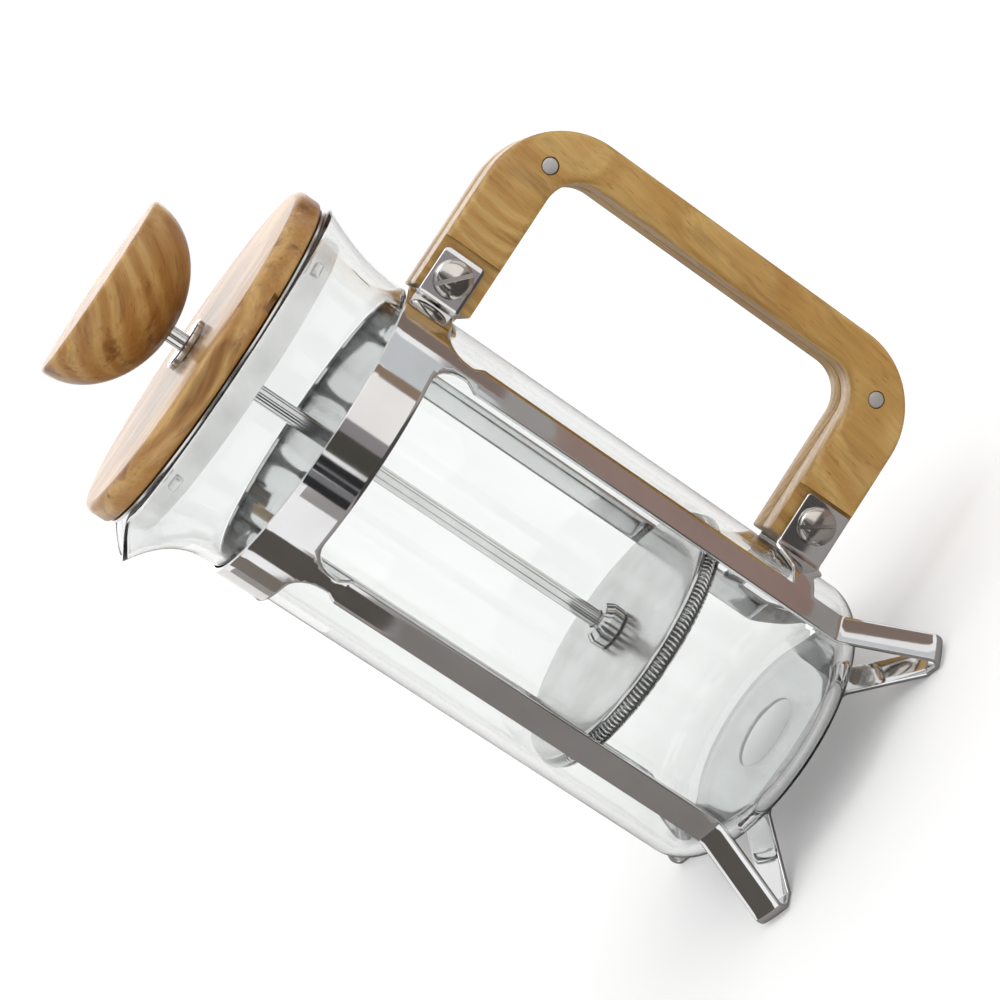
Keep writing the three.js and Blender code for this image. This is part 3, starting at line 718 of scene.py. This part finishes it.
# Profiles for lathe list (radius, height, how round the corner is).
ring_profile = rounded([(radius, height, BASE_RING["edge"]) for radius, height in (
    (BASE_RING["hole"], BASE_RING["bottom"]), (BASE_RING["radius"], BASE_RING["bottom"]),
    (BASE_RING["radius"], BASE_RING["top"]), (BASE_RING["hole"], BASE_RING["top"]))], steps=3)
piece("cage_base_ring", "frame", ["base_ring"], STEEL, lathe(ring_profile, 96))


# ---- handle ----

def handle_loop():
    inner, outer = GRIP
    corners = [(ARM_END, LOWER_ARM[0], ARM_CORNER), (outer, LOWER_ARM[0], HANDLE_OUTER_CORNER),
               (outer, UPPER_ARM[1], HANDLE_OUTER_CORNER), (ARM_END, UPPER_ARM[1], ARM_CORNER),
               (ARM_END, UPPER_ARM[0], ARM_CORNER), (inner, UPPER_ARM[0], HANDLE_INNER_CORNER),
               (inner, LOWER_ARM[1], HANDLE_INNER_CORNER), (ARM_END, LOWER_ARM[1], ARM_CORNER)]
    return np.array(subdivided(rounded(corners, steps=20), lambda u, v: 4.0))


def handle_half(side):
    """Half of the handle and its cutters, side being -1 for the front."""
    edge, seam, steps = 1.7, 0.15, 7
    beyond = 20  # clear of the wood: short of the arms' ends, and past either face
    section = [(0.25, seam), (0.07, seam + 0.07), (0, seam + 0.25)]
    for k in range(steps + 1):
        a = math.pi / 2 * k / steps
        section.append((edge * (1 - math.cos(a)), HANDLE_HALF - edge + edge * math.sin(a)))
    verts, faces = slab([handle_loop()], section, lambda u, v, h: (u, side * h, v))
    cutters = []
    for low, high in (LOWER_ARM, UPPER_ARM):
        y1, y2 = sorted((side * RECESS[1], side * beyond))
        cutters.append(block(beyond, RECESS[0], y1, y2, low - 2, high + 2))
    holes = [(SCREW_HOLE, x, z) for x, z, _ in (UPPER_SCREW, LOWER_SCREW)]
    holes += [(PIN_HOLE, PIN_X, z) for z in PIN_HEIGHTS.values()]
    cutters += [bar_y(radius, x, z, -beyond, beyond) for radius, x, z in holes]
    return (verts, faces), cutters


for side, name, material in ((-1, "front", HANDLE_WOOD_FRONT), (1, "back", HANDLE_WOOD_BACK)):
    shape, cutters = handle_half(side)
    piece("handle_wood_" + name, "frame", ["handle_half_" + name], material,
          shape, cutters, sharp=30)

for name, z in PIN_HEIGHTS.items():
    profile = rounded([(0, -PIN_HALF, 0), (PIN_RADIUS, -PIN_HALF, 0.25),
                       (PIN_RADIUS, PIN_HALF, 0.25), (0, PIN_HALF, 0)], steps=3)
    verts, faces = lathe(profile, 40, closed=False)
    piece("handle_rivet_" + name, "frame", ["handle_pin_" + name], ALUMINIUM,
          (along_y(verts, PIN_X, z), faces))


def screw(x, z, slot_angle):
    """A domed head on the near side with its shank through the handle, and its slot's cutter."""
    seat, head, tall, side = SCREW_SEAT, SCREW_HEAD, 2.1, 0.55
    dome = [(head * math.sin(a), -seat - side - (tall - side) * math.cos(a))
            for a in np.linspace(0, math.pi / 2, 12)]
    profile = dome + [(head, -seat - 0.12), (head - 0.12, -seat), (1.9, -seat), (1.9, seat + 1.55),
                      (1.6, seat + 1.8), (0, seat + 1.8)]
    verts, faces = lathe(profile, 64, closed=False)
    slot = block(-6, 6, -SLOT_HALF, SLOT_HALF, -seat - 4, -seat - tall + SLOT_DEPTH)
    slot_verts, slot_faces = turned(slot, -slot_angle)
    return (along_y(verts, x, z), faces), [(along_y(slot_verts, x, z), slot_faces)]


def screw_nut(x, z):
    seat, hole, head = SCREW_SEAT, SCREW_HOLE, SCREW_HEAD
    profile = rounded([(hole, seat, 0.1), (head, seat, 0.12), (head, seat + 0.6, 0.4),
                       (3.4, seat + 1.75, 1.2), (hole, seat + 1.8, 0.2)], steps=5)
    verts, faces = lathe(profile, 64)
    return along_y(verts, x, z), faces


for name, (x, z, angle) in (("upper", UPPER_SCREW), ("lower", LOWER_SCREW)):
    shape, cutters = screw(x, z, angle)
    piece("handle_screw_slotted_" + name, "frame", ["handle_screw_" + name], SCREWS,
          shape, cutters)
    piece("handle_sleeve_nut_" + name, "frame", ["handle_nut_" + name], SCREWS,
          screw_nut(x, z))


# ---- lid ----

lid_profile = rounded([(LID["hole"], LID["bottom"], 0.3), (LID["radius"], LID["bottom"], 1.2),
                       (LID["radius"], LID["top"], 1.7), (LID["hole"], LID["top"], 0.3)], steps=8)
notch = turned(block(NOTCH["inner"], NOTCH["outer"], -NOTCH["half"], NOTCH["half"],
                     NOTCH["bottom"], NOTCH["top"]), NOTCH["angle"])
piece("lid_wooden_disc", "lid", ["lid_disc"], LID_WOOD,
      lathe(lid_profile, 192), [notch])

liner_profile = rounded([
    (LID["hole"], 161.6, 0), (34.4, 161.6, 0), (35.4, 160.6, 0.8), (35.4, 155.8, 0.2),
    (36, 155.8, 0.2), (36, 161.3, 0.3), (39.9, 161.6, 0.2), (40.2, 161.75, 0.1),
    (40.2, 162.3, 0.15), (LID["hole"], 162.3, 0)], steps=4)


def clip(degrees):
    """A small pressed catch on the skirt."""
    corners = [(-2.0, 157.6, 0.5), (2.0, 157.6, 0.5), (2.0, 159.4, 0.5), (-2.0, 159.4, 0.5)]
    section = [(0, 35.7), (0, 36.2), (0.15, 36.45), (0.4, 36.6)]
    verts, faces = slab([np.array(rounded(corners, steps=5))], section, lambda u, v, h: (h, u, v))
    return turned((verts, faces), degrees)


def joined(*shapes):
    verts, faces = [], []
    for more_verts, more_faces in shapes:
        start = len(verts)
        verts += more_verts
        faces += [tuple(start + i for i in face) for face in more_faces]
    return verts, faces


catches = [clip(45 + 90 * i) for i in range(4)]
piece("lid_steel_liner", "lid", ["lid_liner"], PRESSED,
      joined(lathe(liner_profile, 192), *catches))

bushing_profile = rounded([
    (ROD_BORE, 156.6, 0.1), (3.5, 156.6, 0.3), (3.5, 168.9, 0), (6.2, 168.9, 0.1),
    (6.2, 170.2, 0.2), (5.9, 170.5, 0.2), (5.3, 170.5, 0.05), (5.3, 170.05, 0.05),
    (4.95, 170.05, 0.05), (4.95, 170.5, 0.05), (ROD_BORE, 170.5, 0.25)], steps=4)
piece("lid_rod_bushing", "lid", ["lid_bushing"], FITTING,
      lathe(bushing_profile, 72))


def hex_nut(hole, corner, bottom, top):
    """A hexagon nut, corner being how far its corners are from its axis."""
    outer = np.array(rounded([(corner * math.cos(a), corner * math.sin(a), 0.35)
                              for a in (TURN * k / 6 for k in range(6))], steps=3))
    inner = np.array(arc(0, 0, hole, 360, 15, 23))
    middle, half = (bottom + top) / 2, (top - bottom) / 2
    return slab([outer, inner], sheet_edge(2 * half, 0.35), lambda u, v, h: (u, v, middle + h))


piece("lid_hex_nut", "lid", ["lid_nut"], FITTING,
      hex_nut(LID["hole"], 6.2, 157.9, 161.3), sharp=25)


# ---- plunger ----

def knob():
    """A rounded underside, a nearly flat top, and a blind hole for the insert."""
    radius, rim, hole = KNOB["radius"], KNOB["rim"], KNOB["hole"]
    tall = KNOB["top"] - rim - KNOB["bottom"]
    start = math.asin(hole / radius)
    dome = [(radius * math.sin(a), KNOB["top"] - rim - tall * math.cos(a))
            for a in np.linspace(start, math.pi / 2, 40)]
    edge = [(radius - rim + rim * math.cos(a), KNOB["top"] - rim + rim * math.sin(a))
            for a in np.linspace(0.2, math.pi / 2, 6)]
    crown = [(radius - 6, KNOB["top"]), (radius - 12, KNOB["top"]), (0, KNOB["top"])]
    blind = [(0, KNOB["hole_top"]), (hole, KNOB["hole_top"])]
    return lathe([*blind, *dome, *edge, *crown], 144, closed=False)


piece("knob_wood", "plunger", ["knob"], KNOB_WOOD, knob())
insert_profile = rounded([
    (0, 183.3, 0), (ROD_BORE, 183.3, 0), (ROD_BORE, 174.4, 0.2), (3.4, 174.4, 0.3),
    (3.4, 184.6, 0.3), (0, 184.6, 0)], steps=3)
piece("knob_threaded_insert", "plunger", ["knob_insert"], BRASS,
      lathe(insert_profile, 48, closed=False))
rod_profile = rounded([
    (0, ROD["bottom"], 0), (ROD["radius"], ROD["bottom"], ROD["edge"]),
    (ROD["radius"], ROD["top"], ROD["edge"]), (0, ROD["top"], 0)], steps=4)
piece("plunger_bar", "plunger", ["plunger_rod"], FITTING,
      lathe(rod_profile, 64, closed=False))

hub_profile = rounded([
    (ROD_BORE, 56.1, 0.2), (5.2, 56.1, 0.3), (5.2, 59.0, 0.5), (4.2, 60.6, 0.4),
    (ROD_BORE, 60.6, 0.2)], steps=4)
piece("filter_top_hub", "plunger", ["filter_hub"], FITTING, lathe(hub_profile, 64))


def perforated(radius, bottom, top, hole_rings, dish=0.0):
    """A round sheet with rings of (count, reach, radius) holes, its rim turned down by dish."""
    loops = [np.array(arc(0, 0, radius, 0, 358, 179)), np.array(arc(0, 0, ROD_BORE, 360, 15, 23))]
    for count, reach, size in hole_rings:
        for k in range(count):
            a = TURN * k / count
            loops.append(np.array(arc(reach * math.cos(a), reach * math.sin(a), size, 360, 15, 23)))
    middle = (bottom + top) / 2
    grid = [(r * math.cos(a), r * math.sin(a)) for r in np.arange(3.5, radius, 1.6)
            for a in np.linspace(0, TURN, max(8, int(r * 3)), endpoint=False)]

    def place(u, v, h):
        share = max(0.0, math.hypot(u, v) / radius - 0.8) / 0.2
        return u, v, middle + h - dish * share * share

    return slab(loops, sheet_edge(top - bottom, 0.15, 2), place, grid, 0.4)


piece("filter_dished_plate", "plunger", ["filter_spring_plate"], PRESSED,
      perforated(32.4, 55.1, 55.8, [(8, 19, 4)], 0.5))
piece("filter_woven_disc", "plunger", ["filter_screen"], MESH,
      perforated(32.2, 50.8, 51.2, []))
piece("filter_cross_disc", "plunger", ["filter_cross_plate"], PRESSED,
      perforated(27, 49.6, 50.5, [(6, 10.5, 2.6), (12, 20, 2.8)]))
piece("filter_hex_nut", "plunger", ["filter_nut"], FITTING,
      hex_nut(ROD_BORE, 4.6, 46, 49.3), sharp=25)


def spring_ring(ring, coil, wire, middle, turns, steps=12, sides=6):
    """A long coil spring bent into a ring."""
    verts, faces = [], []
    count = turns * steps
    for k in range(count):
        round_axis, round_ring = TURN * k / steps, TURN * k / count
        out = Vector((math.cos(round_ring), math.sin(round_ring), 0))
        spoke = out * math.cos(round_axis) + Vector((0, 0, 1)) * math.sin(round_axis)
        centre = out * ring + spoke * coil
        advance = Vector((-out.y, out.x, 0))
        for s in range(sides):
            a = TURN * s / sides
            verts.append(tuple(centre + spoke * wire * math.cos(a) + advance * wire * math.sin(a)
                               + Vector((0, 0, middle))))
    for k in range(count):
        for s in range(sides):
            a, b = k * sides, (k + 1) % count * sides
            t = (s + 1) % sides
            faces.append((a + s, a + t, b + t, b + s))
    return verts, faces


piece("filter_spring_coil", "plunger", ["filter_coil_ring"], SPRING,
      spring_ring(ring=31.6, coil=1.32, wire=0.26, middle=53.1, turns=190), sharp=70)


# ---- floor, lights and camera ----

def stage_plane(name, size, location, normal, colour, strength=None, camera=False):
    """A flat card of the stage that casts no shadow. It glows when it has a strength."""
    mesh = bpy.data.meshes.new(name)
    w, h = size[0] / 2, size[1] / 2
    mesh.from_pydata([(-w, -h, 0), (w, -h, 0), (w, h, 0), (-w, h, 0)], [], [(0, 1, 2, 3)])
    obj = bpy.data.objects.new(name, mesh)
    scene.collection.objects.link(obj)
    obj.rotation_mode = "QUATERNION"
    obj.location = location
    obj.rotation_quaternion = Vector(normal).to_track_quat("Z", "Y")
    material, tree, shader = node_material(name)
    shader.inputs["Base Color"].default_value = (*colour, 1)
    shader.inputs["Roughness"].default_value = 0.9
    if strength:
        shader.inputs["Emission Color"].default_value = (*colour, 1)
        shader.inputs["Emission Strength"].default_value = strength
    mesh.materials.append(material)
    obj.visible_camera = camera
    obj.visible_shadow = False
    return obj


def card(name, azimuth, low, high, half_width, distance, colour):
    """An upright card round the press, with azimuth (off +X) and half width in degrees."""
    a = math.radians(azimuth)
    away = Vector((math.cos(a), math.sin(a), 0))
    size = (2 * distance * math.tan(math.radians(half_width)), high - low)
    place = away * distance + Vector((AXIS_X, 0, (low + high) / 2))
    return stage_plane(name, size, place, -away, colour)


def seen_by(obj, diffuse=False, glossy=False, transmission=False):
    """Sets which rays meet a card, besides the camera's."""
    obj.visible_diffuse = diffuse
    obj.visible_glossy = glossy
    obj.visible_transmission = transmission


stage_plane("floor", (12, 12), (0, 0, -0.0002), (0, 0, 1), (0.86, 0.86, 0.86),
            strength=0.17, camera=True)

world = bpy.data.worlds.new("studio")
scene.world = world
world.use_nodes = True
background = world.node_tree.nodes["Background"]
background.inputs["Color"].default_value = (1.0, 1.0, 1.0, 1)
background.inputs["Strength"].default_value = 1.0

top = stage_plane("light_top", (0.7, 0.7), (0.15, -0.1, 1.1), (-0.13, 0.08, -1),
                  (1.0, 0.99, 0.97), strength=1.5)
seen_by(top, diffuse=True, glossy=True)

# What polished surfaces see of the table: grey all round, darker on the near side.
for name, size, place, colour in (
        ("flag_table", (1.5, 1.5), (AXIS_X, 0, 0.0002), (0.30, 0.285, 0.275)),
        ("flag_table_near", (0.42, 0.5), (AXIS_X + 0.05, -0.34, 0.0004), (0.045, 0.040, 0.037)),
        ("flag_table_right", (0.34, 0.3), (AXIS_X + 0.27, 0.02, 0.0006), (0.26, 0.175, 0.145)),
        ("flag_table_left", (0.4, 0.34), (AXIS_X - 0.28, 0.0, 0.0006), (0.20, 0.185, 0.175))):
    seen_by(stage_plane(name, size, place, (0, 0, 1), colour), glossy=True)

back = stage_plane("light_back", (0.9, 0.28), (0.02, 0.9, 0.24), (0, -1, 0.02),
                   (1.0, 0.985, 0.975), strength=1.05)
seen_by(back, glossy=True)

# Cards that only reflections see, as (azimuth, half width, low, high, distance, colour).
MIRRORED = [
    (121, 11, 0.0, 0.5, 0.57, (0.85, 0.84, 0.82)),
    (41, 13, 0.0, 0.42, 0.55, (0.20, 0.115, 0.085)),
    (-19, 14, 0.0, 0.5, 0.57, (0.60, 0.625, 0.635)),
    (-60, 19, 0.0, 0.6, 0.575, (0.93, 0.91, 0.88)),
    (-148, 15, 0.0, 0.6, 0.57, (0.97, 0.97, 0.98)),
    (-37, 3.2, 0.0, 0.5, 0.55, (0.27, 0.19, 0.13)),
    (-80, 4.5, 0.0, 0.6, 0.56, (0.27, 0.25, 0.26)),
    (-92, 7.5, 0.0, 0.9, 0.55, (0.060, 0.056, 0.044)),
    (-108, 5.5, 0.0, 0.9, 0.54, (0.012, 0.012, 0.014)),
    (-109, 0.7, 0.0, 0.9, 0.53, (0.20, 0.20, 0.21)),
    (-116, 2.2, 0.0, 0.9, 0.53, (0.19, 0.19, 0.20)),
    (-121, 3.2, 0.0, 0.9, 0.54, (0.012, 0.012, 0.014)),
    (-177, 12, 0.0, 0.35, 0.5, (0.085, 0.075, 0.065)),
    (152, 9, 0.0, 0.35, 0.5, (0.19, 0.165, 0.14)),
    (7, 9, 0.05, 0.30, 0.32, (0.23, 0.17, 0.145)),
]
for i, (azimuth, half_width, low, high, distance, colour) in enumerate(MIRRORED):
    seen_by(card(f"flag_mirrored_{i}", azimuth, low, high, half_width, distance, colour),
            glossy=True)

# Dark cards that only rays through the glass see, as (azimuth, half width). They draw the
# glass's edges, and none is straight behind the press as the camera sees it, or as it is seen
# from 0, 45, 90 and 225 degrees.
THROUGH_GLASS = [(28, 11), (62, 8), (158, 7), (211, 11), (248, 11), (280, 7), (345, 8)]
for i, (azimuth, half_width) in enumerate(THROUGH_GLASS):
    dark = card(f"flag_through_glass_{i}", azimuth, 0.0, 1.2, half_width, 0.95, (0.03, 0.03, 0.032))
    seen_by(dark, transmission=True)

# The camera looks at the upright press from the side, rolled so that it appears tipped to pour.
CAMERA_TARGET = Vector((-0.010741, 0.0, 0.0936))
CAMERA_DISTANCE = 0.53015
CAMERA_AZIMUTH, CAMERA_TILT, CAMERA_ROLL = -4.3, 12.92, 55.98
CAMERA_LENS = 86.53


def aim_camera():
    a, t, roll = (math.radians(x) for x in (CAMERA_AZIMUTH, CAMERA_TILT, CAMERA_ROLL))
    level = Vector((math.cos(a), math.sin(a), 0))
    ahead = Vector((-math.sin(a) * math.cos(t), math.cos(a) * math.cos(t), -math.sin(t)))
    upright = level.cross(ahead)
    right = level * math.cos(roll) - upright * math.sin(roll)
    up = level * math.sin(roll) + upright * math.cos(roll)
    data = bpy.data.cameras.new("camera")
    data.lens = CAMERA_LENS
    data.sensor_width = 36
    data.clip_start, data.clip_end = 0.01, 50
    camera = bpy.data.objects.new("camera", data)
    scene.collection.objects.link(camera)
    turn = Matrix((right, up, -ahead)).transposed().to_4x4()
    camera.matrix_world = Matrix.Translation(CAMERA_TARGET - ahead * CAMERA_DISTANCE) @ turn
    scene.camera = camera


aim_camera()
scene.view_settings.view_transform = "Standard"
